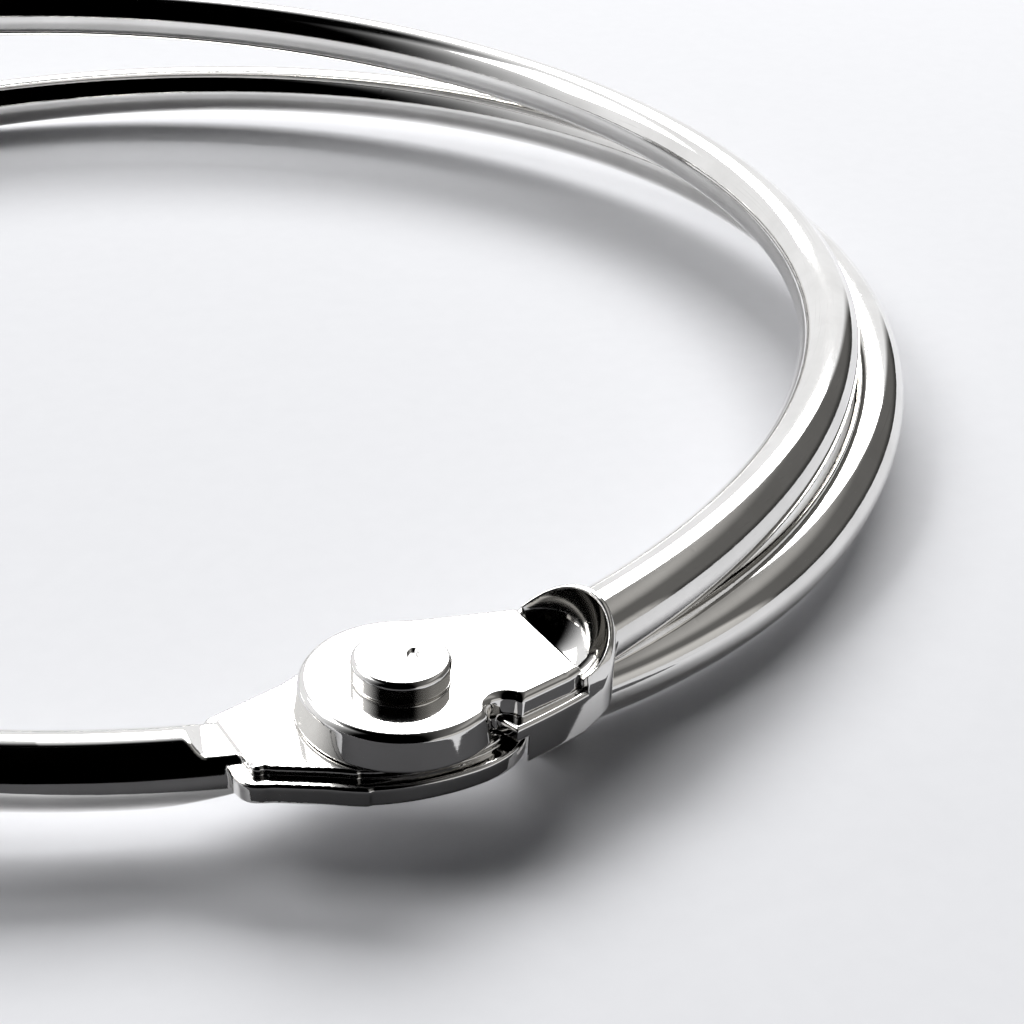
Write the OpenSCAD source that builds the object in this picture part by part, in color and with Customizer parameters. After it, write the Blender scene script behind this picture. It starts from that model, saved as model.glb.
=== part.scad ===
// Hinged loose-leaf ring with one single-wire half and one double-wire half.
//
// The ring lies flat. The origin is the centre of the single wire's circle, in the plane of that
// wire. +Z points up through the rivet's upper head, the hinge is on the -Y side, the single wire
// runs round -X and the two strands run round +X. All sizes are in millimetres and degrees.

/* [Ring] */
// Diameter of all three wires
wire_d = 3.0; // [2.4:0.1:3.6]
// Radius of the single wire's centre line
ring_r = 39.5; // [33:0.5:48]
// Angle from +Y, on the single wire's own side of it, at which its free end stops
tip_angle = 2; // [1:0.5:4]
// Width of the chamfer round each free end
tip_chamfer = 0.6; // [0.3:0.1:0.8]

/* [Hinge] */
// Diameter of the socket's eye, the upper leaf of the hinge
eye_d = 8.0; // [7:0.1:9]
// Thickness of the eye plate
eye_t = 1.5; // [1.1:0.1:1.8]
// Diameter of the paddle's round end, the lower leaf of the hinge
paddle_d = 9.7; // [9:0.1:10]
// Distance from the rivet to the middle of the paddle's bowed outer side
side_reach = 4.05; // [3.9:0.05:4.3]
// Radius of that bow
side_bow = 10; // [9:0.5:12]
// Thickness of the coined paddle
paddle_t = 1.2; // [0.9:0.1:1.4]
// Distance from the rivet to the shoulder where the round wire becomes the paddle
shoulder_x = 7.3; // [6.5:0.1:8.5]
// Length of the slope under the shoulder
coin_run = 2.8; // [2:0.1:4]
// Distance that the paddle's outer corner stands out from the wire
corner_out = 1.5; // [1.2:0.1:1.8]
// Radius of the paddle's outer corner
corner_r = 0.9; // [0.5:0.1:1.2]
// Running gap between the two leaves, and under the rivet's heads
leaf_gap = 0.05; // [0.03:0.01:0.1]
// Gap between the paddle's round end and the socket's body
swing_gap = 0.15; // [0.1:0.05:0.3]

/* [Rivet] */
// Diameter of the rivet's shank
shank_d = 2.0; // [1.6:0.1:2.4]
// Diameter of the rivet's heads
head_d = 3.8; // [3.2:0.1:4.4]
// Height of the rivet's heads
head_h = 0.9; // [0.6:0.1:1.2]
// Radius of the rounding on the heads
head_round = 0.25; // [0.1:0.05:0.4]
// Diameter of the centre mark in the upper head
dimple_d = 0.5; // [0.3:0.1:0.8]
// Clearance round the shank in the paddle, which turns on it
run_clear = 0.05; // [0.02:0.01:0.1]
// Clearance round the shank in the eye, which holds it
fixed_clear = 0.02; // [0.01:0.01:0.03]

/* [Socket] */
// Height of the middle of the pair of strands, above the single wire
pair_z = 0.6; // [0.4:0.1:0.8]
// Gap between the two strands where they leave the socket
strand_gap = 0.1; // [0.05:0.05:0.2]
// Wall beside each strand
side_wall = 1.1; // [0.9:0.05:1.2]
// Wall above the upper strand
roof_wall = 0.4; // [0.3:0.05:0.6]
// Wall round the lower strand in its cradle
floor_wall = 0.35; // [0.3:0.05:0.5]
// Distance of the collar's middle inside the upper strand's line
collar_in = 0.15; // [0:0.05:0.3]
// Height of the body's underside above the single wire's middle
under_z = 0; // [-0.2:0.05:0.2]
// Length of the socket's body, from the collar's front
socket_len = 6.6; // [6:0.1:7]
// Length of straight wire between the collar and a strand's first bend
neck = 1.8; // [1.6:0.1:2]
// Depth of the wire bores
bore_depth = 2.2; // [2:0.1:2.6]
// Clearance round each wire in its bore
bore_clear = 0.02; // [0.01:0.01:0.03]
// Distance from the lower strand's first bend to the front of its cradle
cradle_from = 2.4; // [2.2:0.1:2.8]
// Radius of the collar's round front, seen from above
cup_r = 2.8; // [2.7:0.05:3]
// Width of the collar's rim, from its front to the hollow's lip
rim_w = 0.35; // [0.3:0.05:0.45]
// Depth of the domed hollow's centre below the collar's top
hollow_drop = 0.55; // [0.4:0.05:0.7]
// Angle at which the underside rises to the collar's front
lift = 18; // [12:1:24]
// Distance from the collar's front to where that rise starts
lift_from = 3; // [2.5:0.1:3.5]
// Angle by which the body's outer side closes in towards the paddle
taper = 8; // [5:1:10]
// Distance from the collar's front to where that starts
taper_from = 3.6; // [3.3:0.1:4]
// Angle along the ring from the rivet to the step where the hollow starts
step_angle = 9.2; // [8.8:0.1:9.6]
// Distance from the collar's front to the end of the plate's outer side
plate_len = 6.3; // [6:0.1:6.5]
// Angle from +X, at the rivet, of the round notch beside the eye
notch_angle = 45; // [42:1:48]
// Distance from the rivet to the notch's centre
notch_out = 4.3; // [4.2:0.05:4.5]
// Radius of the notch
notch_r = 0.57; // [0.45:0.03:0.66]

/* [Strands] */
// Angle along the ring from the rivet to where the strands' first bends start
bend_angle = 15; // [14.5:0.1:15.5]
// Distance of the upper strand's start inside the single wire's circle
upper_in = 0.8; // [0.6:0.1:1]
// Distance of the lower strand's start inside the single wire's circle
lower_in = 1.0; // [0.8:0.1:1.2]
// Upper strand's turn towards the ring's centre as it leaves the socket
upper_yaw = 11; // [10:0.5:12]
// Lower strand's turn towards the ring's centre, negative outwards
lower_yaw = -2.5; // [-3.5:0.5:-1.5]
// Lower strand's climb as it leaves the socket
lower_climb = 1.5; // [1:0.25:2]
// Upper strand's lean about its own length at its first bend
upper_lean = -1.5; // [-2:0.25:-1]
// Lower strand's lean about its own length at its first bend
lower_lean = 1; // [0.5:0.25:1.5]
// Radius of the upper strand's first bend, in ring radii
upper_ease = 1.215; // [1.18:0.005:1.25]
// Radius of the lower strand's first bend, in ring radii
lower_ease = 0.8; // [0.76:0.005:0.84]
// Angle of the upper strand's first bend
upper_bend = 32; // [30:0.5:34]
// Angle of the lower strand's first bend
lower_bend = 26; // [24:0.5:28]
// Radius of the upper strand's long bend, in ring radii
upper_round = 0.975; // [0.96:0.005:0.99]
// Radius of the lower strand's long bend, in ring radii
lower_round = 1.0; // [0.985:0.005:1.015]
// Angle of the upper strand's long bend
upper_sweep = 134; // [132:0.5:136]
// Angle of the lower strand's long bend
lower_sweep = 155; // [153:0.5:157]
// Length of the core that joins a strand's two bends, half of it in each
feed = 0.6; // [0.4:0.1:0.8]
// Gap between each strand's end and the single wire that closes between them
closure_gap = 0.6; // [0.5:0.05:0.8]

/* [Hidden] */
$fn = 96;

wire_r = wire_d / 2;
eye_r = eye_d / 2;
paddle_r = paddle_d / 2;
hinge_az = -90;
nickel = [0.80, 0.79, 0.77];
rivet_grey = [0.72, 0.71, 0.70];

// Heights of the hinge's leaves. The paddle lies on the upper side of the wire's centre plane.
paddle_top = paddle_t;
eye_bottom = paddle_top + leaf_gap;
eye_top = eye_bottom + eye_t;

// The strands' places where they leave the socket.
upper_z = pair_z + (wire_d + strand_gap) / 2;
lower_z = pair_z - (wire_d + strand_gap) / 2;
upper_r = ring_r - upper_in;
lower_r = ring_r - lower_in;
bend_az = hinge_az + bend_angle;

// The collar's section has a round top.
collar_r = wire_r + side_wall;
collar_top = upper_z + wire_r + roof_wall;
hollow_r = norm([cup_r - rim_w, hollow_drop]);

// The height that each strand's end must reach so that the single wire fits between them.
closure_z = wire_d + closure_gap;

// Room that a cutting shape needs past the body it cuts.
spare = 20;
// Width and depth of the hairline between a strand's two bends.
seam = 0.02;

// --- Directions along a strand -------------------------------------------------------------------

// The vector v, at right angles to the unit vector k, turned about k by the angle a.
function turn(v, k, a) = v * cos(a) + cross(k, v) * sin(a);

// A strand's direction as it leaves the socket, and its side direction towards the bend's centre.
function tangent(yaw, climb) =
    let (a = bend_az + yaw) [-sin(a) * cos(climb), cos(a) * cos(climb), sin(climb)];
function side(yaw, climb, lean) =
    let (a = bend_az + yaw) turn([-cos(a), -sin(a), 0], tangent(yaw, climb), lean);

// How far a bend of radius r and angle a climbs, for a direction t and a side direction n.
function bend_climb(r, a, t, n) = r * ((1 - cos(a)) * n.z + sin(a) * t.z);

// The roll between a strand's two bends that brings its end to the height end_z. The climb of the
// long bend is x cos(roll) + y sin(roll), with x from the side direction and y from the upright one.
function closing_roll(z, yaw, climb, lean, r1, a1, r2, a2, end_z) =
    let (t0 = tangent(yaw, climb), n0 = side(yaw, climb, lean))
    let (t1 = t0 * cos(a1) + n0 * sin(a1), n1 = n0 * cos(a1) - t0 * sin(a1))
    let (x = (1 - cos(a2)) * n1.z, y = (1 - cos(a2)) * cross(t1, n1).z)
    let (start_z = z + bend_climb(r1, a1, t0, n0) + seam * t1.z)
    let (want = (end_z - start_z) / r2 - sin(a2) * t1.z)
    atan2(y, x) - acos(want / norm([x, y]));

upper_roll = closing_roll(upper_z, upper_yaw, 0, upper_lean, ring_r * upper_ease, upper_bend,
                          ring_r * upper_round, upper_sweep, closure_z);
lower_roll = closing_roll(lower_z, lower_yaw, lower_climb, lower_lean, ring_r * lower_ease,
                          lower_bend, ring_r * lower_round, lower_sweep, -closure_z);

// --- Places ----------------------------------------------------------------------------------------

// Puts its children in the hinge's frame: the rivet's axis is z, +X points along the ring to the
// socket and +Y points to the ring's centre.
module at_hinge() {
    translate([0, -ring_r, 0]) children();
}

// Puts its children where a strand's first bend starts: +Y runs along the strand, -X to its side.
module at_strand(r, z, yaw, climb, lean) {
    rotate([0, 0, bend_az]) translate([r, 0, z])
        rotate([0, 0, yaw]) rotate([climb, 0, 0]) rotate([0, lean, 0]) children();
}

module at_upper() {
    at_strand(upper_r, upper_z, upper_yaw, 0, upper_lean) children();
}

module at_lower() {
    at_strand(lower_r, lower_z, lower_yaw, lower_climb, lower_lean) children();
}

// Puts its children at the collar's front: -Y runs into the socket.
module at_collar() {
    rotate([0, 0, bend_az]) translate([upper_r, 0, 0])
        rotate([0, 0, upper_yaw]) translate([-collar_in, -neck, 0]) children();
}

// Moves its children past a bend of radius r and angle a.
module past_bend(r, a) {
    translate([-r, 0, 0]) rotate([0, 0, a]) translate([r, 0, 0]) children();
}

// Half the section of a round bar that stands on the x axis, with its upper edge rounded.
module rounded_section(radius, height, edge) {
    square([radius - edge, height]);
    square([radius, height - edge]);
    translate([radius - edge, height - edge]) circle(r = edge);
}

// --- Wire ------------------------------------------------------------------------------------------

// A bend of round wire that starts at the origin along +Y and turns towards -X.
module wire_bend(r, a) {
    translate([-r, 0, 0]) rotate_extrude(angle = a) translate([r, 0]) circle(r = wire_r, $fn = 48);
}

// A straight length of round stock that ends at the origin and runs back along -Y.
module stem(radius, length) {
    rotate([90, 0, 0]) cylinder(r = radius, h = length);
}

// What is taken off round the end of a wire that reaches the origin along +Y.
module end_chamfer() {
    rotate([-90, 0, 0]) difference() {
        translate([0, 0, -2 * tip_chamfer]) cylinder(r = wire_d, h = 2.25 * tip_chamfer);
        translate([0, 0, -3 * tip_chamfer])
            cylinder(r1 = wire_r + 2 * tip_chamfer, r2 = wire_r - 1.5 * tip_chamfer,
                     h = 3.5 * tip_chamfer);
    }
}

// A strand outside its socket: two bends with a roll between them, and a free end. A core a hair
// thinner than the wire runs from one bend into the other, so that they join as one solid.
module strand(r1, a1, roll, r2, a2) {
    wire_bend(r1, a1);
    past_bend(r1, a1) {
        translate([0, seam + feed / 2, 0]) stem(wire_r - seam, feed);
        translate([0, seam, 0]) rotate([0, roll, 0]) difference() {
            wire_bend(r2, a2);
            past_bend(r2, a2) end_chamfer();
        }
    }
}

// --- Single-wire half ------------------------------------------------------------------------------

// Angle at the ring's centre between the rivet and the shoulder.
shoulder_angle = asin(shoulder_x / ring_r);
// The wire runs on under the paddle as far as its slope does.
run_angle = shoulder_angle - coin_run / ring_r * 180 / PI;
tip_az = 90 + tip_angle;

// The wire's own width at the shoulder, in the hinge's frame.
shoulder_y = ring_r * (1 - cos(shoulder_angle));
inner_y = shoulder_y + wire_r;
outer_y = shoulder_y - wire_r - corner_out;

// Where the paddle's straight outer edge meets its bow.
bow_x = -2.5;
bow_y = side_bow - side_reach;
bow_start = [bow_x, bow_y - sqrt(side_bow * side_bow - bow_x * bow_x)];

// The paddle's round end, with its outer side bowed more gently.
module paddle_end() {
    intersection() {
        cylinder(r = paddle_r, h = paddle_t);
        translate([0, bow_y, -paddle_t]) cylinder(r = side_bow, h = 3 * paddle_t);
    }
}

// Outline of the paddle's neck, which narrows to the wire on its inner side and ends in a rounded
// corner on its outer side.
module paddle_neck() {
    polygon([[0, paddle_r], [-shoulder_x, inner_y], [-shoulder_x, outer_y + corner_r],
             [-shoulder_x + corner_r, outer_y], bow_start, [0, 0]]);
    translate([-shoulder_x + corner_r, outer_y + corner_r]) circle(r = corner_r);
}

// The wire from its free end to the slope under the shoulder.
module single_round() {
    rotate([0, 0, tip_az]) translate([ring_r, 0, 0]) difference() {
        wire_bend(ring_r, 360 + hinge_az - run_angle - tip_az);
        mirror([0, 1, 0]) end_chamfer();
    }
}

// What the coining die takes away: the wire above the paddle's top, and a slope below it.
module coined_away() {
    rotate([0, 0, -shoulder_angle]) {
        translate([0, -ring_r - spare / 2, paddle_top]) cube([spare, spare, spare]);
        translate([0, -ring_r + spare / 2, 0]) rotate([90, 0, 0]) linear_extrude(spare)
            polygon([[-coin_run, -wire_r], [coin_run, 0], [spare, 0], [spare, -spare],
                     [-coin_run, -spare]]);
    }
}

module single_wire() {
    color(nickel) difference() {
        union() {
            difference() {
                single_round();
                coined_away();
            }
            at_hinge() {
                paddle_end();
                linear_extrude(paddle_t) paddle_neck();
            }
        }
        at_hinge() translate([0, 0, -spare / 2]) cylinder(r = shank_d / 2 + run_clear, h = spare);
    }
}

// --- Socket ----------------------------------------------------------------------------------------

// Everything that lies past the step, seen from the rivet.
module past_step() {
    rotate([0, 0, step_angle]) translate([0, -ring_r - spare, -spare]) cube([spare, 2 * spare, 2 * spare]);
}

// The body's section, standing in the x-y plane with its height along y.
module collar_section() {
    translate([0, collar_top - collar_r]) circle(r = collar_r);
    translate([-collar_r, under_z - spare])
        square([2 * collar_r, collar_top - collar_r - under_z + spare]);
}

// What is cut from the bar that the body is made of, in the collar's frame: the corners round the
// cup, all that lies under the body, and a wedge along its outer side.
module trimmings() {
    difference() {
        translate([-spare, -cup_r, -2 * spare]) cube([2 * spare, spare, 4 * spare]);
        translate([0, -cup_r, -3 * spare]) cylinder(r = cup_r, h = 6 * spare);
    }
    translate([-spare, -spare, under_z - 2 * spare]) cube([2 * spare, 2 * spare, 2 * spare]);
    translate([-spare, -lift_from, under_z]) rotate([lift, 0, 0])
        translate([0, 0, -spare]) cube([2 * spare, spare, spare]);
    translate([collar_r, -taper_from, -spare]) rotate([0, 0, -taper])
        translate([0, -spare, 0]) cube([spare, spare, 2 * spare]);
}

// The whole length of the socket's body at the collar's height.
module collar_bar() {
    at_collar() difference() {
        rotate([90, 0, 0]) linear_extrude(socket_len) collar_section();
        trimmings();
    }
}

// The ball that shapes the hollow in the cup. It also trims the end of the upper strand.
module hollow_ball() {
    at_collar() translate([0, -cup_r, collar_top - hollow_drop]) sphere(r = hollow_r);
}

// A place beside the collar's middle line and behind its front, in the hinge's frame.
function beside(x, y) =
    let (a = bend_angle + upper_yaw, from = x - collar_in, back = neck + y)
    [upper_r * sin(bend_angle) + from * sin(a) - back * cos(a),
     ring_r - upper_r * cos(bend_angle) - from * cos(a) - back * sin(a)];

// Half the body's width at the plate's top, where the plate runs into the collar.
plate_half = sqrt(collar_r * collar_r - pow(eye_top - collar_top + collar_r, 2));
// The plate runs on past the step, where it is cut off.
plate_on = 1;
// The plate's inner side starts a little inside the eye's edge, so that the two cross cleanly.
neck_start = 0.08;
notch_at = notch_out * [cos(notch_angle), -sin(notch_angle)];

// The plate: the eye, and a neck that widens to the step. A round notch parts the two on the ring's
// outer side.
module eye_plate() {
    difference() {
        at_hinge() translate([0, 0, eye_bottom]) {
            cylinder(r = eye_r, h = eye_t);
            linear_extrude(eye_t)
                polygon([[0, 0], [0, eye_r - neck_start], beside(-plate_half, plate_on),
                         beside(plate_half, plate_on), beside(plate_half, taper_from),
                         beside(plate_half - (plate_len - taper_from) * tan(taper), plate_len),
                         notch_at]);
        }
        past_step();
        at_hinge() translate([notch_at.x, notch_at.y, 0]) cylinder(r = notch_r, h = spare);
    }
}

// The body: as high as the plate's middle before the step, and full height past it, with the
// hollow in its top.
module socket_body() {
    difference() {
        union() {
            difference() {
                collar_bar();
                translate([-spare, -ring_r - spare / 2, eye_bottom + eye_t / 2])
                    cube([2 * spare, spare, spare]);
            }
            intersection() {
                collar_bar();
                past_step();
            }
        }
        hollow_ball();
    }
}

// The cradle that holds the lower strand under the body.
module cradle() {
    at_lower() translate([0, -cradle_from, 0])
        stem(wire_r + floor_wall, neck + bore_depth + floor_wall - cradle_from);
}

module hinge_socket() {
    color(nickel) difference() {
        union() {
            difference() {
                union() {
                    socket_body();
                    cradle();
                }
                // Room for the paddle's round end.
                at_hinge() translate([0, 0, eye_bottom - spare])
                    cylinder(r = paddle_r + swing_gap, h = spare);
            }
            eye_plate();
        }
        at_upper() stem(wire_r + bore_clear, neck + bore_depth);
        at_lower() stem(wire_r + bore_clear, neck + bore_depth);
        at_hinge() translate([0, 0, -spare / 2]) cylinder(r = shank_d / 2 + fixed_clear, h = spare);
    }
}

// --- Strands ---------------------------------------------------------------------------------------

// Length of a strand's straight root, from its first bend back to the floor of its bore.
root = neck + bore_depth - bore_clear;

module upper_wire() {
    color(nickel) {
        difference() {
            at_upper() stem(wire_r, root);
            hollow_ball();
        }
        at_upper() strand(ring_r * upper_ease, upper_bend, upper_roll,
                          ring_r * upper_round, upper_sweep);
    }
}

module lower_wire() {
    color(nickel) at_lower() {
        stem(wire_r, root);
        strand(ring_r * lower_ease, lower_bend, lower_roll, ring_r * lower_round, lower_sweep);
    }
}

// --- Rivet -----------------------------------------------------------------------------------------

module rivet_head() {
    rotate_extrude() rounded_section(head_d / 2, head_h, head_round);
}

module rivet() {
    color(rivet_grey) at_hinge() difference() {
        union() {
            translate([0, 0, -leaf_gap]) cylinder(r = shank_d / 2, h = eye_top + leaf_gap);
            translate([0, 0, eye_top]) rivet_head();
            mirror([0, 0, 1]) translate([0, 0, leaf_gap]) rivet_head();
        }
        translate([0, 0, eye_top + head_h]) sphere(r = dimple_d / 2);
    }
}

single_wire();
hinge_socket();
upper_wire();
lower_wire();
rivet();
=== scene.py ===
# %% [markdown]
# # A hinged binder ring in bright nickel plate
# The ring has two halves. One is a single round wire whose end is pressed flat into a paddle. The
# other is a small socket that holds two strands of the same wire. A rivet joins the two halves.
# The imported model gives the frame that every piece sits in, so it is loaded before anything else.

import bpy
import numpy as np
from mathutils import Matrix, Vector


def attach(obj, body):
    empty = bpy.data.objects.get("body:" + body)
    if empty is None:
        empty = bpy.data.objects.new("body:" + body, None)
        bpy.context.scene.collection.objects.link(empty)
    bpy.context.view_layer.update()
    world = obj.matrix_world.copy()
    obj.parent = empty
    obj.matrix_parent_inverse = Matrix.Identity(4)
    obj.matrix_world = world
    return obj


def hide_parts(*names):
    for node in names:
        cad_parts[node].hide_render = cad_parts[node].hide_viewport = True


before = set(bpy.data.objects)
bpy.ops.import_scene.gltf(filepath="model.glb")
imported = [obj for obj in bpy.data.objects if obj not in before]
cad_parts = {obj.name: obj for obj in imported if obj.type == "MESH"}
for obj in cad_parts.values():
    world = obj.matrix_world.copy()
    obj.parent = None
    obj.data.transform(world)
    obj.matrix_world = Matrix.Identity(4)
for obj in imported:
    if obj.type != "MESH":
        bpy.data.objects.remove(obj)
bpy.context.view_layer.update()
print("nodes:", sorted(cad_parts))

# %% [markdown]
# ## Sizes
# The visible pieces repeat the construction's own sizes, so that each one fills the same room as
# the solid it stands for. They are kept in millimetres, because that is how wire is sold, and are
# scaled to metres in one place, where a mesh is made.

# %% Sizes in millimetres
MM = 0.001
WIRE_R, RING_R = 1.5, 39.5
TIP_AZ, HINGE_AZ = 92.0, -90.0
EYE_R, EYE_LOW, EYE_HIGH = 4.0, 1.25, 2.75
PADDLE_R, PADDLE_T = 4.85, 1.2
SIDE_REACH, SIDE_BOW = 4.05, 10.0
SHOULDER_X = 7.3
SHANK_R, HEAD_R, HEAD_H = 1.0, 1.9, 0.9
LEAF_GAP, SWING_GAP, FIT_GAP = 0.05, 0.15, 0.02
COLLAR_R, COLLAR_TOP, COLLAR_IN = 2.6, 4.05, 0.15
SOCKET_LEN, NECK, BORE_DEPTH = 6.6, 1.8, 2.2
CUP_R, RIM_W, HOLLOW_DROP = 2.8, 0.35, 0.55
STEP_AZ = 9.2
CRADLE_FROM, CRADLE_WALL = 2.4, 0.35
STRAND_AZ = HINGE_AZ + 15.0
UPPER_IN, UPPER_Z, UPPER_YAW, UPPER_LEAN = 0.8, 2.15, 11.0, -1.5
LOWER_IN, LOWER_Z, LOWER_YAW, LOWER_CLIMB, LOWER_LEAN = 1.0, -0.95, -2.5, 1.5, 1.0
CLOSING_HEIGHT = 3.6
print(f"the ring is {2 * (RING_R - WIRE_R):.0f} mm across inside")

# %% [markdown]
# ## Frames along the ring
# A piece of wire is easiest to describe from its own start: it runs straight on, or it turns to
# one side. Small four-by-four matrices carry such a local description to its place on the ring.
# Blender could hold the same thing in a chain of empties, but matrices leave nothing behind in the
# file.

# %% Matrices
def shift(x, y, z):
    """A move by millimetres."""
    return np.array(Matrix.Translation((x, y, z)))


def turn(angle, axis):
    """A turn by degrees about one axis."""
    return np.array(Matrix.Rotation(np.radians(angle), 4, axis))


def at_strand(radius, height, yaw, climb, lean):
    """The start of a strand's first bend. It runs along +Y and bends towards -X."""
    place = turn(STRAND_AZ, "Z") @ shift(radius, 0, height)
    return place @ turn(yaw, "Z") @ turn(climb, "X") @ turn(lean, "Y")


def into(frame_matrix, x, y, z):
    """Coordinates of points in a local frame."""
    inverse = np.linalg.inv(frame_matrix)
    return [row[0] * x + row[1] * y + row[2] * z + row[3] for row in inverse[:3]]


UPPER = at_strand(RING_R - UPPER_IN, UPPER_Z, UPPER_YAW, 0.0, UPPER_LEAN)
LOWER = at_strand(RING_R - LOWER_IN, LOWER_Z, LOWER_YAW, LOWER_CLIMB, LOWER_LEAN)
COLLAR = (turn(STRAND_AZ, "Z") @ shift(RING_R - UPPER_IN, 0, 0) @ turn(UPPER_YAW, "Z")
          @ shift(-COLLAR_IN, -NECK, 0))
print("the collar's front is at", np.round(COLLAR[:3, 3], 2), "mm")

# %% [markdown]
# ## Shapes as distances
# The socket and the paddle are pressed and then tumbled before they are plated, so every edge is
# softly rounded and every inside corner has a small fillet. Bevels on boolean cuts would tear
# here, where flats, balls and bores run into each other. Instead each shape is a signed distance:
# a number that is negative inside the metal. Shapes join, cut and blend by taking smooth smallest
# and largest values, and the roundings come with them.

# %% Distance helpers
def join(a, b, blend=0.0):
    """Both shapes, with a fillet about as wide as the blend where they meet."""
    if blend == 0.0:
        return np.minimum(a, b)
    near = np.maximum(blend - np.abs(a - b), 0.0) / blend
    return np.minimum(a, b) - near * near * blend / 4


def cut(a, b, blend=0.0):
    """The first shape without the second."""
    return -join(-a, b, blend)


def keep(a, b, blend=0.0):
    """What the two shapes share."""
    return -join(-a, -b, blend)


def rounded(a, b, edge):
    """What two shapes share, with a true quarter round along their common edge."""
    a, b = a + edge, b + edge
    outside = np.hypot(np.maximum(a, 0), np.maximum(b, 0))
    return np.minimum(np.maximum(a, b), 0.0) + outside - edge


def slab(outline, z, low, high, top_edge, low_edge=0.12):
    """A plate with rounded upper and lower edges, from the distance to its outline."""
    return rounded(rounded(outline, z - high, top_edge), low - z, low_edge)


def polygon(x, y, corners):
    """Distance to a flat outline with straight sides."""
    corners = np.array(corners, float)
    nearest = np.full(np.shape(x), np.inf)
    inside = np.zeros(np.shape(x), bool)
    for (ax, ay), (bx, by) in zip(corners, np.roll(corners, -1, axis=0)):
        ex, ey = bx - ax, by - ay
        along = np.clip(((x - ax) * ex + (y - ay) * ey) / (ex * ex + ey * ey), 0, 1)
        nearest = np.minimum(nearest, np.hypot(x - ax - along * ex, y - ay - along * ey))
        crosses = (ay > y) != (by > y)
        if ey != 0:
            inside ^= crosses & (x < ax + (y - ay) * ex / ey)
    return np.where(inside, -nearest, nearest)


print("a 1 mm blend of two walls adds", -join(np.zeros(1), np.zeros(1), 1.0)[0], "mm")

# %% [markdown]
# ## From a distance to a mesh
# A grid is laid over the shape. Wherever its value changes sign inside a cell, one vertex is put
# there, and four neighbouring cells share a face. This is the method called surface nets. Each
# vertex then slides along the slope of the distance onto the true surface, and the slope is kept
# as its normal. On mirror-bright metal that matters, because a reflection shows every ripple. A
# remesh modifier would be quicker to set up, but its facets would show.

# %% Surface nets
def nets(field):
    """Vertices in grid units, and quads, where the field changes sign."""
    inside = field < 0
    cells_shape = tuple(n - 1 for n in field.shape)
    corners = [np.array(c) for c in np.ndindex(2, 2, 2)]
    filled = sum(
        inside[tuple(slice(c[i], c[i] + cells_shape[i]) for i in range(3))].astype(np.int8)
        for c in corners
    )
    cells = np.argwhere((filled > 0) & (filled < 8))
    number = np.full(cells_shape, -1)
    number[tuple(cells.T)] = np.arange(len(cells))
    total, hits = np.zeros((len(cells), 3)), np.zeros(len(cells))
    quads = []
    for axis in range(3):
        step = np.eye(3, dtype=int)[axis]
        for c in corners:
            if c[axis] == 1:
                continue
            start = cells + c
            f0, f1 = field[tuple(start.T)], field[tuple((start + step).T)]
            crossing = (f0 < 0) != (f1 < 0)
            part = f0[crossing] / (f0[crossing] - f1[crossing])
            total[crossing] += start[crossing] + part[:, None] * step
            hits[crossing] += 1
        u, v = (axis + 1) % 3, (axis + 2) % 3
        low, high = [slice(None)] * 3, [slice(None)] * 3
        low[axis], high[axis] = slice(None, -1), slice(1, None)
        starts_inside = inside[tuple(low)]
        edges = np.argwhere(starts_inside != inside[tuple(high)])
        fits = (edges[:, u] > 0) & (edges[:, u] < field.shape[u] - 1)
        fits &= (edges[:, v] > 0) & (edges[:, v] < field.shape[v] - 1)
        edges = edges[fits]
        back_u, back_v = np.eye(3, dtype=int)[u], np.eye(3, dtype=int)[v]
        ring = [edges, edges - back_u, edges - back_u - back_v, edges - back_v]
        quad = np.stack([number[tuple(r.T)] for r in ring], axis=1)
        flip = ~starts_inside[tuple(edges.T)]
        quad[flip] = quad[flip][:, ::-1]
        quads.append(quad)
    return total / hits[:, None], np.concatenate(quads)


# %% Slope, solid and piece
def slope(distance, points, reach=0.004):
    """The unit direction in which a distance grows, at each point."""
    out = np.empty_like(points)
    for axis in range(3):
        off = np.zeros(3)
        off[axis] = reach
        out[:, axis] = distance(*(points + off).T) - distance(*(points - off).T)
    return out / np.maximum(np.linalg.norm(out, axis=1, keepdims=True), 1e-9)


def solid(name, distance, axes, place=lambda a, b, c: (a, b, c)):
    """A piece whose skin is where the distance is nought. Place may curve the three axes."""
    grid = np.meshgrid(*axes, indexing="ij")
    spots, quads = nets(distance(*place(*grid)))
    flat = [np.interp(spots[:, i], np.arange(len(axes[i])), axes[i]) for i in range(3)]
    points = np.stack(place(*flat), axis=1)
    for _ in range(4):
        normal = slope(distance, points)
        points -= np.clip(distance(*points.T), -0.05, 0.05)[:, None] * normal
    return piece(name, points, quads, slope(distance, points))


def piece(name, points, faces, normals):
    """A smooth-shaded object from points in millimetres."""
    mesh = bpy.data.meshes.new(name)
    mesh.from_pydata(points * MM, [], faces if isinstance(faces, list) else faces.tolist())
    mesh.validate()
    mesh.polygons.foreach_set("use_smooth", np.ones(len(mesh.polygons), bool))
    if len(mesh.vertices) == len(normals):
        mesh.normals_split_custom_set_from_vertices(normals.tolist())
    obj = bpy.data.objects.new(name, mesh)
    bpy.context.scene.collection.objects.link(obj)
    print(f"{name}: {len(mesh.vertices)} vertices, {len(mesh.polygons)} faces")
    return obj


# %% [markdown]
# ## The single wire and its paddle
# On the real ring this is one length of wire. A coining die squeezes its end between two flats, so
# the round wire swells sideways into a paddle that is thinner than the wire and wider than it. The
# die leaves a narrow ledge along the paddle's edge, and its sides lean by a few degrees so that it
# comes out of the die. The underside of the wire runs down to the paddle on a slope.
# The grid for it is bent round the ring: fine cells at the paddle and the tip, long ones between.

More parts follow.
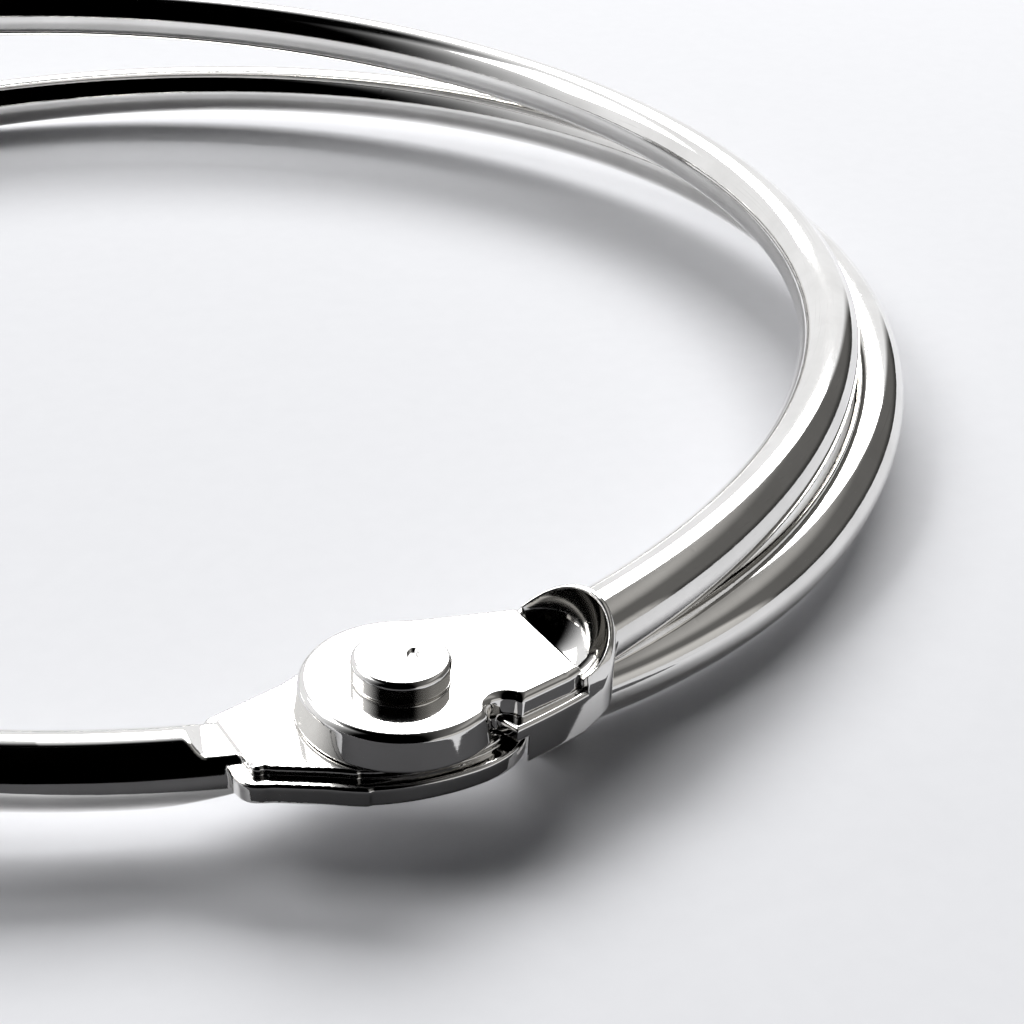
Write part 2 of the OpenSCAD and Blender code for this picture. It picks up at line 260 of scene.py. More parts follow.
# %% Paddle outline
def hinge_xy(x, y):
    """Hinge coordinates: X runs along the ring to the socket and Y to the ring's centre."""
    return x, y + RING_R


CORNER_OUT, CORNER_R, CORNER_LEAN = 1.5, 0.9, 0.45
LEDGE_IN, LEDGE_DROP, PADDLE_DRAFT, PADDLE_EDGE = 0.62, 0.35, 0.05, 0.14
COIN_FROM, COIN_TO, COIN_DROP, COIN_RISE = -6.0, 3.0, 0.15, 0.5
UNDER_Z, UNDER_SLOPE, UNDER_COSINE = -0.75, 0.268, 0.966
TIP_ROUND = 0.6
SHOULDER_AZ = np.degrees(np.arcsin(SHOULDER_X / RING_R))
SHOULDER_Y = RING_R * (1 - np.cos(np.radians(SHOULDER_AZ)))
INNER_Y = SHOULDER_Y + WIRE_R
OUTER_Y = SHOULDER_Y - WIRE_R - CORNER_OUT
BOW_X, BOW_Y = -2.5, SIDE_BOW - SIDE_REACH


def paddle_outline(hx, hy):
    """A round end with a flatter near side, and a neck that widens to a knuckle at the wire."""
    bow_start = (BOW_X, BOW_Y - np.sqrt(SIDE_BOW**2 - BOW_X**2))
    neck = polygon(hx, hy, [
        (0, PADDLE_R), (-SHOULDER_X + 0.5, INNER_Y + 0.15), (-SHOULDER_X, INNER_Y - 0.35),
        (-SHOULDER_X + CORNER_LEAN, OUTER_Y + CORNER_R),
        (-SHOULDER_X + CORNER_LEAN + CORNER_R, OUTER_Y), bow_start, (0, 0)])
    knuckle = np.hypot(hx + SHOULDER_X - CORNER_R - CORNER_LEAN, hy - OUTER_Y - CORNER_R)
    knuckle = knuckle - CORNER_R
    end = keep(np.hypot(hx, hy) - PADDLE_R, np.hypot(hx, hy - BOW_Y) - SIDE_BOW, 0.6)
    return join(join(end, neck, 0.3), knuckle, 0.2)


print(f"the paddle's shoulder is {SHOULDER_AZ:.2f} degrees round from the rivet")

# %% Single wire
def ramp(x, low, high):
    """0 before low, 1 after high, with an even ease between."""
    s = np.clip((x - low) / (high - low), 0, 1)
    return s * s * (3 - 2 * s)


def single_wire(x, y, z):
    wire = np.hypot(np.hypot(x, y) - RING_R, z) - WIRE_R
    tip = into(turn(TIP_AZ, "Z"), x, y, z)
    wire = rounded(wire, np.where(y > 0, -tip[1], -RING_R), TIP_ROUND)
    along = into(turn(-SHOULDER_AZ, "Z") @ shift(0, -RING_R, 0), x, y, z)[0]
    coined = (y < 0) & (along > COIN_FROM)
    top = z - (PADDLE_T - COIN_DROP + COIN_RISE * ramp(-along, 0.0, 0.9))
    under = (UNDER_Z + UNDER_SLOPE * along - z) * UNDER_COSINE
    for face, edge in ((top, 0.12), (under, 0.3), (along - COIN_TO, 0.1)):
        wire = keep(wire, np.where(coined, face, -1.0), edge)
    hx, hy = hinge_xy(x, y)
    outline = paddle_outline(hx, hy)
    drafted = outline + (PADDLE_T - z) * PADDLE_DRAFT
    ledge = slab(drafted, z, 0.0, PADDLE_T - LEDGE_DROP, PADDLE_EDGE)
    paddle = join(ledge, slab(outline + LEDGE_IN, z, 0.0, PADDLE_T, PADDLE_EDGE), 0.06)
    whole = join(wire, paddle, 0.12)
    return cut(whole, np.hypot(hx, hy) - SHANK_R - LEAF_GAP, 0.05)


def round_the_ring(radius, az, z):
    return radius * np.cos(np.radians(az)), radius * np.sin(np.radians(az)), z


wire_angles = np.concatenate([
    np.arange(TIP_AZ - 0.4, 93.6, 0.1), np.arange(93.6, 250, 0.6), np.arange(250, 277.2, 0.15)])
wire_axes = [np.arange(34.4, 44.5, 0.1), wire_angles, np.arange(-1.75, 1.8, 0.09)]
single = solid("single_wire_metal", single_wire, wire_axes, round_the_ring)
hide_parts("single_wire")
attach(single, "single_half")

# %% [markdown]
# ## The socket
# The socket carries the strands and half of the hinge. It is pressed in two layers. The upper one
# is the flat plate with the round eye, and with a round notch beside the eye. The lower one is the
# body, whose edge stands out a little below the plate. The plate stops at a step, and behind the
# step a ball tool has pressed a hollow into the round-fronted collar, down to a thin rim. The
# upper strand leaves through the front, below the rim, and a cradle holds the lower strand.

# %% Socket outlines
HOLLOW_R = np.hypot(CUP_R - RIM_W, HOLLOW_DROP)
PLATE_HALF = np.sqrt(COLLAR_R**2 - (EYE_HIGH - COLLAR_TOP + COLLAR_R) ** 2)
LIFT, LIFT_FROM = np.radians(18.0), 3.0
TAPER, TAPER_FROM, PLATE_LEN = np.radians(8.0), 3.6, 6.3
NOTCH_AZ, NOTCH_OUT, NOTCH_R = np.radians(-45.0), 4.3, 0.57
BODY_TOP, PLATE_DRAFT, PLATE_EDGE = 1.85, 0.13, 0.3


def beside(x, y):
    """Hinge coordinates of a place beside the collar's middle line and behind its front."""
    spot = COLLAR @ np.array([x, -y, 0, 1])
    return spot[0], spot[1] + RING_R


def plate_outline(hx, hy):
    """The eye and the neck that widens from it to the collar, with the round notch cut out."""
    narrow = PLATE_HALF - (PLATE_LEN - TAPER_FROM) * np.tan(TAPER)
    notch = NOTCH_OUT * np.cos(NOTCH_AZ), NOTCH_OUT * np.sin(NOTCH_AZ)
    neck = polygon(hx, hy, [
        (0, 0), (0, EYE_R - 0.08), beside(-PLATE_HALF, 1.0), beside(PLATE_HALF, 1.0),
        beside(PLATE_HALF, TAPER_FROM), beside(narrow, PLATE_LEN), notch])
    outline = join(np.hypot(hx, hy) - EYE_R, neck, 0.2)
    return cut(outline, np.hypot(hx - notch[0], hy - notch[1]) - NOTCH_R, 0.2)


print(f"the hollow is {2 * HOLLOW_R:.2f} mm wide, and the plate {2 * PLATE_HALF:.2f} mm")

# %% Socket
def bored(body, x, y, z, place, length):
    """The body with a blind hole for a wire that comes in along a strand's start."""
    bx, by, bz = into(place, x, y, z)
    return cut(body, keep(np.hypot(bx, bz) - WIRE_R - FIT_GAP, -by - length), 0.1)


def collar_bar(cx, cy, cz):
    """The collar's arched section, drawn out behind its round front and lifted at the back."""
    section = np.hypot(cx, np.maximum(cz - COLLAR_TOP + COLLAR_R, 0)) - COLLAR_R
    side = (cx - COLLAR_R) * np.cos(TAPER) - (cy + TAPER_FROM) * np.sin(TAPER)
    section = keep(section, side, 0.3)
    front = np.hypot(cx, np.maximum(cy + CUP_R, 0)) - CUP_R
    under = np.maximum(-cz, (cy + LIFT_FROM) * np.sin(LIFT) - cz * np.cos(LIFT))
    bar = rounded(rounded(section, front, 0.14), under, 0.14)
    return keep(bar, -cy - SOCKET_LEN)


def socket(x, y, z):
    hx, hy = hinge_xy(x, y)
    from_rivet = np.hypot(hx, hy)
    cx, cy, cz = into(COLLAR, x, y, z)
    bar = collar_bar(cx, cy, cz)
    ball = np.sqrt(cx**2 + (cy + CUP_R) ** 2 + (cz - COLLAR_TOP + HOLLOW_DROP) ** 2) - HOLLOW_R
    a = np.radians(STEP_AZ)
    past_step = x * np.cos(a) + y * np.sin(a)
    below = cut(rounded(bar, z - BODY_TOP, 0.16), ball, 0.12)
    body = join(below, keep(cut(bar, ball, 0.12), -past_step, 0.05))
    lx, ly, lz = into(LOWER, x, y, z)
    ends = np.maximum(ly + CRADLE_FROM, -ly - NECK - BORE_DEPTH - CRADLE_WALL)
    body = join(body, rounded(np.hypot(lx, lz) - WIRE_R - CRADLE_WALL, ends, 0.1), 0.15)
    body = cut(body, keep(from_rivet - PADDLE_R - SWING_GAP, z - EYE_LOW), 0.1)
    drafted = plate_outline(hx, hy) + PLATE_DRAFT * (z - EYE_LOW)
    plate = slab(keep(drafted, past_step, 0.08), z, EYE_LOW, EYE_HIGH, PLATE_EDGE)
    body = join(body, plate, 0.06)
    body = bored(body, x, y, z, LOWER, NECK + BORE_DEPTH)
    return cut(body, from_rivet - SHANK_R - FIT_GAP, 0.05)


SOCKET_CELL = 0.075
socket_spans = ((-4.3, 9.2), (-43.9, -35.0), (-3.2, 4.4))
socket_obj = solid("hinge_socket_metal", socket,
                   [np.arange(low, high, SOCKET_CELL) for low, high in socket_spans])
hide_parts("hinge_socket")
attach(socket_obj, "double_half")

# %% [markdown]
# ## The two strands
# Each strand is drawn wire: a straight root in the socket, a short bend and a long bend. A curve
# object with a round bevel would do, but rings of vertices placed one by one give rounded ends and
# an exact normal at each vertex. The roll between the bends is what makes the strands fan apart.
# The upper strand's near end is cupped, so that it follows the collar's front and stays behind the
# rim.

# %% Strand path
def walk(start, moves, step):
    """Local frames along a path. Each move is (bend radius or None, angle or length, roll)."""
    frames, here = [start], start
    for radius, amount, roll in moves:
        if radius is None:
            count = max(1, int(abs(amount) / step))
            parts = [shift(0, amount * (i + 1) / count, 0) for i in range(count)]
        else:
            here = here @ turn(roll, "Y")
            count = int(np.radians(amount) * radius / step)
            turns = [turn(amount * (i + 1) / count, "Z") for i in range(count)]
            parts = [shift(-radius, 0, 0) @ t @ shift(radius, 0, 0) for t in turns]
        frames += [here @ p for p in parts]
        here = here @ parts[-1]
    return frames


def bent(bends, roll):
    """The moves of a strand past its root: a bend, a hair of straight wire, a roll and a bend."""
    (r1, a1), (r2, a2) = bends
    return [(r1, a1, 0), (None, 0.02, 0), (r2, a2, roll)]


def closing_roll(start, bends, height):
    """The roll that brings the far end to a height, found by halving a bracket."""
    def end_height(roll):
        return walk(start, bent(bends, roll), 5.0)[-1][2, 3] - height

    low, high = -20.0, 20.0
    rising = end_height(high) > end_height(low)
    for _ in range(40):
        middle = (low + high) / 2
        if (end_height(middle) > 0) == rising:
            high = middle
        else:
            low = middle
    return (low + high) / 2


# %% Tube
def tube(name, frames, cup=None, edge=TIP_ROUND, around=72):
    """A round wire through the frames. Its far end is rounded, and its near end can be cupped."""
    angles = np.linspace(0, 2 * np.pi, around, endpoint=False)
    rings, normals = [], []

    def ring(local, radius, along, tilt):
        out = np.stack([np.cos(angles), np.zeros(around), np.sin(angles)], axis=1)
        spot = out * radius + np.outer(along + 0 * angles, [0, 1, 0])
        rings.append(spot @ local[:3, :3].T + local[:3, 3])
        lean = out * np.cos(tilt) + np.array([0, np.sin(tilt), 0])
        normals.append(lean @ local[:3, :3].T)

    ring(frames[0], 0.001, 0, -np.pi / 2)
    cupped = np.sqrt(cup**2 - (WIRE_R * np.cos(angles)) ** 2) - cup if cup else 0
    ring(frames[0], WIRE_R, cupped, -np.pi / 2)
    for local in frames[:-1]:
        if not 0 < np.linalg.norm(local[:3, 3] - frames[-1][:3, 3]) < edge:
            ring(local, WIRE_R, 0, 0)
    for tilt in np.linspace(0, np.pi / 2, 9):
        ring(frames[-1], WIRE_R - edge + edge * np.cos(tilt), edge * (np.sin(tilt) - 1), tilt)
    ring(frames[-1], 0.001, 0, np.pi / 2)
    faces = []
    last = (len(rings) - 1) * around
    for i in range(0, last, around):
        for j in range(around):
            k = (j + 1) % around
            faces.append([i + j, i + around + j, i + around + k, i + k])
    faces.append(list(range(around)))
    faces.append([last + j for j in reversed(range(around))])
    return piece(name, np.concatenate(rings), faces, np.concatenate(normals))


# %% Strands
def strand(name, start, root, bends, height, cup=None):
    """A wire with a straight root, whose far end stops at a height."""
    roll = closing_roll(start, bends, height)
    begin = start @ shift(0, -root, 0)
    frames = walk(begin, [(None, root, 0)] + bent(bends, roll), 0.35)
    print(f"{name} rolls {roll:.2f} degrees and ends at height {frames[-1][2, 3]:.2f} mm")
    return tube(name, frames, cup)


UPPER_BENDS = [(RING_R * 1.215, 32), (RING_R * 0.975, 134)]
LOWER_BENDS = [(RING_R * 0.8, 26), (RING_R * 1.0, 155)]
UPPER_ROOT, LOWER_ROOT = NECK + 0.15, NECK + BORE_DEPTH - FIT_GAP
upper = strand("upper_wire_metal", UPPER, UPPER_ROOT, UPPER_BENDS, CLOSING_HEIGHT, CUP_R)
lower = strand("lower_wire_metal", LOWER, LOWER_ROOT, LOWER_BENDS, -CLOSING_HEIGHT)
for obj, node in ((upper, "upper_wire"), (lower, "lower_wire")):
    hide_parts(node)
    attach(obj, "double_half")

# %% [markdown]
# ## The rivet
# The rivet is a turned pin. Its upper head was there from the start, and the lower one was spun
# over in the press. A small mark, off centre, is where the tool's point rested.

# %% Rivet sizes
HEAD_EDGE, SHANK_MIDDLE, SHANK_HALF = 0.25, 1.35, 1.6
MARK_X, MARK_R, MARK_WIDE, MARK_LONG, MARK_DEEP = 0.45, 0.19, 1.1, 1.8, 0.6
MARK_COS, MARK_SIN = 0.9, 0.43
print(f"the mark is {2 * MARK_R * MARK_LONG:.2f} mm long and {MARK_R * MARK_DEEP:.2f} mm deep")

# %% Rivet
def rivet(x, y, z):
    """The shank with both heads, less the slanted oval mark in the upper one."""
    hx, hy = hinge_xy(x, y)
    r = np.hypot(hx, hy)
    shank = np.maximum(r - SHANK_R, np.abs(z - SHANK_MIDDLE) - SHANK_HALF)
    head = slab(r - HEAD_R, z, EYE_HIGH, EYE_HIGH + HEAD_H, HEAD_EDGE)
    foot = slab(r - HEAD_R, z, -LEAF_GAP - HEAD_H, -LEAF_GAP, HEAD_EDGE)
    whole = join(join(shank, head, 0.05), foot, 0.05)
    across = MARK_COS * (hx - MARK_X) - MARK_SIN * hy
    along = MARK_SIN * (hx - MARK_X) + MARK_COS * hy
    up = (z - EYE_HIGH - HEAD_H) / MARK_DEEP
    mark = np.sqrt((across / MARK_WIDE) ** 2 + (along / MARK_LONG) ** 2 + up**2) - MARK_R
    return cut(whole, MARK_DEEP * mark, 0.05)


RIVET_CELL = 0.055
rivet_spans = ((-2.0, 2.05), (-41.5, -37.4), (-1.2, 3.9))
rivet_obj = solid("rivet_metal", rivet,
                  [np.arange(low, high, RIVET_CELL) for low, high in rivet_spans])
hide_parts("rivet")
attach(rivet_obj, "double_half")

# %% [markdown]
# ## Nickel plate
# Bright nickel is a warm mirror, but never a perfect one. The plate has a faint bloom that dulls
# it in patches, drawn wire keeps hair-fine lines along its length, and tumbling leaves tiny dings.
# Each effect is a node group with its own inputs, so that every piece can take its own amount.

# %% Node helpers
def group(name, inputs, outputs):
    """A shader node group with its sockets, and its input and output nodes."""
    tree = bpy.data.node_groups.new(name, "ShaderNodeTree")
    for label, kind, default in inputs:
        socket_in = tree.interface.new_socket(label, in_out="INPUT", socket_type=kind)
        socket_in.default_value = default
    for label, kind in outputs:
        tree.interface.new_socket(label, in_out="OUTPUT", socket_type=kind)
    print(f"node group {name}: takes {[i[0] for i in inputs]}, gives {[o[0] for o in outputs]}")
    return tree, tree.nodes.new("NodeGroupInput"), tree.nodes.new("NodeGroupOutput")


def add(tree, kind, links=None, **settings):
    """A node with its settings, and its inputs linked or set."""
    node = tree.nodes.new(kind)
    for key, value in settings.items():
        setattr(node, key, value)
    for label, source in (links or {}).items():
        target = node.inputs[label]
        if hasattr(source, "is_output"):
            tree.links.new(source, target)
        else:
            target.default_value = source
    return node


# %% Bloom
def make_bloom():
    """A soft cloud that gives a mask and a roughness."""
    tree, given, out = group(
        "plate bloom",
        [("Scale", "NodeSocketFloat", 250.0), ("Base", "NodeSocketFloat", 0.06),
         ("Amount", "NodeSocketFloat", 0.05)],
        [("Mask", "NodeSocketFloat"), ("Roughness", "NodeSocketFloat")])
    place = add(tree, "ShaderNodeTexCoord")
    cloud = add(tree, "ShaderNodeTexNoise", {
        "Vector": place.outputs["Object"], "Scale": given.outputs["Scale"], "Detail": 4.0,
        "Roughness": 0.55})
    mask = add(tree, "ShaderNodeMapRange", {
        "Value": cloud.outputs["Fac"], "From Min": 0.38, "From Max": 0.72})
    rough = add(tree, "ShaderNodeMath", {
        0: mask.outputs["Result"], 1: given.outputs["Amount"], 2: given.outputs["Base"]},
        operation="MULTIPLY_ADD")
    tree.links.new(mask.outputs["Result"], out.inputs["Mask"])
    tree.links.new(rough.outputs[0], out.inputs["Roughness"])
    return tree


# %% Drawn lines
def make_lines():
    """Hair-fine lines that follow the direction held in a piece's grain attribute."""
    tree, given, out = group(
        "drawn lines",
        [("Along", "NodeSocketFloat", 0.12), ("Across", "NodeSocketFloat", 9.0)],
        [("Height", "NodeSocketFloat"), ("Mask", "NodeSocketFloat")])
    grain = add(tree, "ShaderNodeAttribute", attribute_name="grain")
    scale = add(tree, "ShaderNodeCombineXYZ", {
        "X": given.outputs["Along"], "Y": given.outputs["Across"], "Z": given.outputs["Across"]})
    spread = add(tree, "ShaderNodeVectorMath", {
        0: grain.outputs["Vector"], 1: scale.outputs[0]}, operation="MULTIPLY")
    fine = add(tree, "ShaderNodeTexNoise", {
        "Vector": spread.outputs[0], "Scale": 1.0, "Detail": 3.0, "Roughness": 0.6})
    sparse = add(tree, "ShaderNodeMapRange", {
        "Value": fine.outputs["Fac"], "From Min": 0.58, "From Max": 0.75})
    tree.links.new(fine.outputs["Fac"], out.inputs["Height"])
    tree.links.new(sparse.outputs["Result"], out.inputs["Mask"])
    return tree


# %% Dings
def make_dings():
    """Scattered tiny pits, as a height."""
    tree, given, out = group(
        "tumbling dings", [("Scale", "NodeSocketFloat", 700.0)], [("Height", "NodeSocketFloat")])
    place = add(tree, "ShaderNodeTexCoord")
    cells = add(tree, "ShaderNodeTexVoronoi", {
        "Vector": place.outputs["Object"], "Scale": given.outputs["Scale"]})
    pit = add(tree, "ShaderNodeMapRange", {
        "Value": cells.outputs["Distance"], "From Min": 0.02, "From Max": 0.12})
    tree.links.new(pit.outputs["Result"], out.inputs["Height"])
    return tree


BLOOM, LINES, DINGS = make_bloom(), make_lines(), make_dings()

# %% Nickel finish
def use(tree, which, **values):
    """A node that runs one of the groups with its own values."""
    node = tree.nodes.new("ShaderNodeGroup")
    node.node_tree = which
    for label, value in values.items():
        node.inputs[label].default_value = value
    return node


def nickel(name, bright, dull, base, bloom, lines, bloom_scale=250.0):
    """A plated finish with two tones. Lines is how strongly the drawn lines show."""
    mat = bpy.data.materials.new(name)
    mat.use_nodes = True
    tree = mat.node_tree
    shader = tree.nodes["Principled BSDF"]
    shader.inputs["Metallic"].default_value = 1.0
    cloud = use(tree, BLOOM, Scale=bloom_scale, Base=base, Amount=bloom)
    drawn = use(tree, LINES)
    ding = use(tree, DINGS)
    tone = add(tree, "ShaderNodeMix", {
        "Factor": cloud.outputs["Mask"], "A": (*bright, 1), "B": (*dull, 1)}, data_type="RGBA")
    streak = add(tree, "ShaderNodeMix", {
        "Factor": drawn.outputs["Mask"], "A": tone.outputs["Result"], "B": (*dull, 1)},
        data_type="RGBA")
    rough = add(tree, "ShaderNodeMath", {
        0: drawn.outputs["Mask"], 1: 0.05, 2: cloud.outputs["Roughness"]},
        operation="MULTIPLY_ADD")
    fine = add(tree, "ShaderNodeBump", {
        "Strength": lines, "Distance": 0.00001, "Height": drawn.outputs["Height"]})
    pits = add(tree, "ShaderNodeBump", {
        "Strength": 0.25, "Distance": 0.00001, "Height": ding.outputs["Height"],
        "Normal": fine.outputs["Normal"]})
    tree.links.new(streak.outputs["Result"], shader.inputs["Base Color"])
    tree.links.new(rough.outputs[0], shader.inputs["Roughness"])
    tree.links.new(pits.outputs["Normal"], shader.inputs["Normal"])
    print(f"{name}: roughness {base:.3f} to {base + bloom:.3f} before the drawn lines")
    return mat


# %% [markdown]
# ## The direction of the metal
# Drawn lines run along a wire, whichever way it bends. Each vertex therefore carries a small
# vector: how far along the metal it lies, and where it lies across it. On the flat pieces the
# plain coordinates do, because they were polished in one straight stroke.

# %% Grain
def set_grain(obj, vectors):
    """Stores one vector at each vertex, for the drawn lines to follow."""
    grain = obj.data.attributes.new("grain", "FLOAT_VECTOR", "POINT")
    grain.data.foreach_set("vector", np.asarray(vectors, np.float32).ravel())
    print(f"{obj.name}: grain runs over {np.ptp(vectors[:, 0]):.1f} mm")


def points_of(obj):
    """A mesh's vertices in millimetres."""
    out = np.empty(len(obj.data.vertices) * 3)
    obj.data.vertices.foreach_get("co", out)
    return out.reshape(-1, 3) / MM


def grain_of_ring(obj):
    """Length along the ring, then the place across the wire."""
    x, y, z = points_of(obj).T
    return np.stack([np.arctan2(x, -y) * RING_R, np.hypot(x, y) - RING_R, z], axis=1)


for obj in (single, upper, lower):
    set_grain(obj, grain_of_ring(obj))
for obj in (socket_obj, rivet_obj):
    set_grain(obj, points_of(obj))

# %% Plate every piece
WARM, RIVET_WARM, GREY = (0.87, 0.86, 0.84), (0.85, 0.84, 0.82), (0.76, 0.75, 0.73)
finishes = {
    single: nickel("nickel_single_wire", WARM, GREY, 0.045, 0.03, 0.10),
    socket_obj: nickel("nickel_socket", WARM, GREY, 0.04, 0.03, 0.06),
    upper: nickel("nickel_upper_strand", WARM, GREY, 0.045, 0.03, 0.10),
    lower: nickel("nickel_lower_strand", WARM, GREY, 0.045, 0.03, 0.10),
    rivet_obj: nickel("nickel_rivet", RIVET_WARM, GREY, 0.05, 0.04, 0.06, 400.0),
}
for obj, finish in finishes.items():
    obj.data.materials.clear()
    obj.data.materials.append(finish)
print("plated:", [obj.name for obj in finishes])

# %% [markdown]
# ## Where the ring rests
# The ring is not flat underneath: the strands fan apart and the socket is deeper than the wire.
# Set down on a table it tips a little and rests on three points. The table is found as the highest
# plane that stays below every vertex, measured at the ring's centre of mass.

# %% Resting plane
def resting_plane(points, centre):
    """Height and slopes of the plane under all points that is highest at the centre."""
    best = (-np.inf, 0.0, 0.0)
    span, middle = 0.2, (0.0, 0.0)
    for _ in range(7):
        for b in np.linspace(middle[0] - span, middle[0] + span, 9):
            for c in np.linspace(middle[1] - span, middle[1] + span, 9):
                low = (points[:, 2] - b * points[:, 0] - c * points[:, 1]).min()
                height = low + b * centre[0] + c * centre[1]
                if height > best[0]:
                    best, lowest = (height, b, c), low
        middle, span = best[1:], span / 3
    return lowest, best[1], best[2]


everything = np.concatenate([points_of(o) for o in finishes])
lengths = np.concatenate([points_of(o) for o in (single, upper, lower)])
height, along_x, along_y = resting_plane(everything, lengths.mean(axis=0))
print(f"table: z = {height:.2f} + {along_x:.4f} x + {along_y:.4f} y mm")

# %% [markdown]
# ## The table
# A pale paper table lies in the resting plane and runs far beyond the view. Paper scatters light
# evenly, so it is rough, with a fine tooth that keeps it from looking like plastic.

# %% Table
def paper():
    """Pale and rough, with a fine tooth."""
    mat = bpy.data.materials.new("pale_paper")
    mat.use_nodes = True
    tree = mat.node_tree
    shader = tree.nodes["Principled BSDF"]
    place = add(tree, "ShaderNodeTexCoord")
    tooth = add(tree, "ShaderNodeTexNoise", {
        "Vector": place.outputs["Object"], "Scale": 900.0, "Detail": 3.0})
    tone = add(tree, "ShaderNodeMix", {
        "Factor": tooth.outputs["Fac"], "A": (0.80, 0.805, 0.83, 1), "B": (0.83, 0.835, 0.86, 1)},
        data_type="RGBA")
    bump = add(tree, "ShaderNodeBump", {
        "Strength": 0.05, "Distance": 0.00005, "Height": tooth.outputs["Fac"]})
    tree.links.new(tone.outputs["Result"], shader.inputs["Base Color"])
    tree.links.new(bump.outputs["Normal"], shader.inputs["Normal"])
    shader.inputs["Roughness"].default_value = 0.7
    shader.inputs["Specular IOR Level"].default_value = 0.2
    return mat


# %% Lay the table
def on_table(name, outline, lift, faces):
    """A flat sheet on the table, from its outline seen from above."""
    outline = np.array(outline, float)
    z = height + lift + outline @ np.array([along_x, along_y])
    up = Vector((-along_x, -along_y, 1)).normalized()
    return piece(name, np.column_stack([outline, z]), faces, np.array([up] * len(outline)))


HALF = 4000.0
table_outline = [(sx * HALF, sy * HALF) for sx, sy in ((-1, -1), (1, -1), (1, 1), (-1, 1))]
table = on_table("table", table_outline, 0.0, [[0, 1, 2, 3]])
table.data.materials.append(paper())

# %% [markdown]
# ## Two windows
# Two soft lamps stand behind the ring, as the windows of a room would: a strong one on the right
# and a weaker one on the left. Each throws its own shadow forward. Area lamps are used, because
# their size sets how quickly a shadow's edge softens as it leaves the wire.

# %% Lamps
LAMP_DISTANCE = 1.4


def lamp(name, azimuth, elevation, size, power):
    """A rectangular soft lamp that faces the ring. Its angles are in degrees."""
    light = bpy.data.lights.new(name, "AREA")
    light.shape = "RECTANGLE"
    light.size, light.size_y = size
    light.energy = power
    obj = bpy.data.objects.new(name, light)
    bpy.context.scene.collection.objects.link(obj)
    a, e = np.radians(azimuth), np.radians(elevation)
    outward = np.array([np.cos(a) * np.cos(e), np.sin(a) * np.cos(e), np.sin(e)])
    obj.location = LAMP_DISTANCE * outward
    obj.rotation_euler = (-obj.location).to_track_quat("-Z", "Y").to_euler()
    print(f"{name}: {power} W from {azimuth} degrees round and {elevation} up")


lamp("window", 62, 39, (1.15, 0.62), 23.0)
lamp("side_window", 138, 47, (0.8, 0.6), 8.0)

# %% [markdown]
# ## What the metal mirrors
# Polished metal only looks polished when it has something dark to mirror. A black hood stands
# round the ring, as in a studio, with one wide opening at the back that shows the bright room. On
# the right the hood glows grey, lighter above, with a pale glowing patch low down. These are
# painted reflections of a lit room, from emission that is no lamp. A dark cloth over the near left
# part of the table blackens the near faces. Only reflections see it, so it is painted shade in the
# mirrored table. The hood could be built of boards, but one half sphere with soft fades in its
# material is easier to tune. Only reflections see hood and cloth, so they cast no shadow and block
# no light.

# %% Hood
HOOD_R = 1000
OPENING_MIDDLE = 100.0
OPENING_RIGHT, OPENING_LEFT, OPENING_TOP = (-1.14, -1.05), (0.80, 1.85), (0.80, 0.93)


def dome(rows=32, columns=96):
    """A half sphere round the ring."""
    elevations = np.radians(np.linspace(0.3, 90, rows))
    azimuths = np.radians(np.linspace(0, 360, columns, endpoint=False))
    e, a = np.meshgrid(elevations, azimuths, indexing="ij")
    points = HOOD_R * np.stack([np.cos(a) * np.cos(e), np.sin(a) * np.cos(e), np.sin(e)], axis=-1)
    faces = []
    for i in range(0, (rows - 1) * columns, columns):
        for j in range(columns):
            k = (j + 1) % columns
            faces.append([i + j, i + k, i + columns + k, i + columns + j])
    return piece("hood", points.reshape(-1, 3), faces, np.zeros((0, 3)))


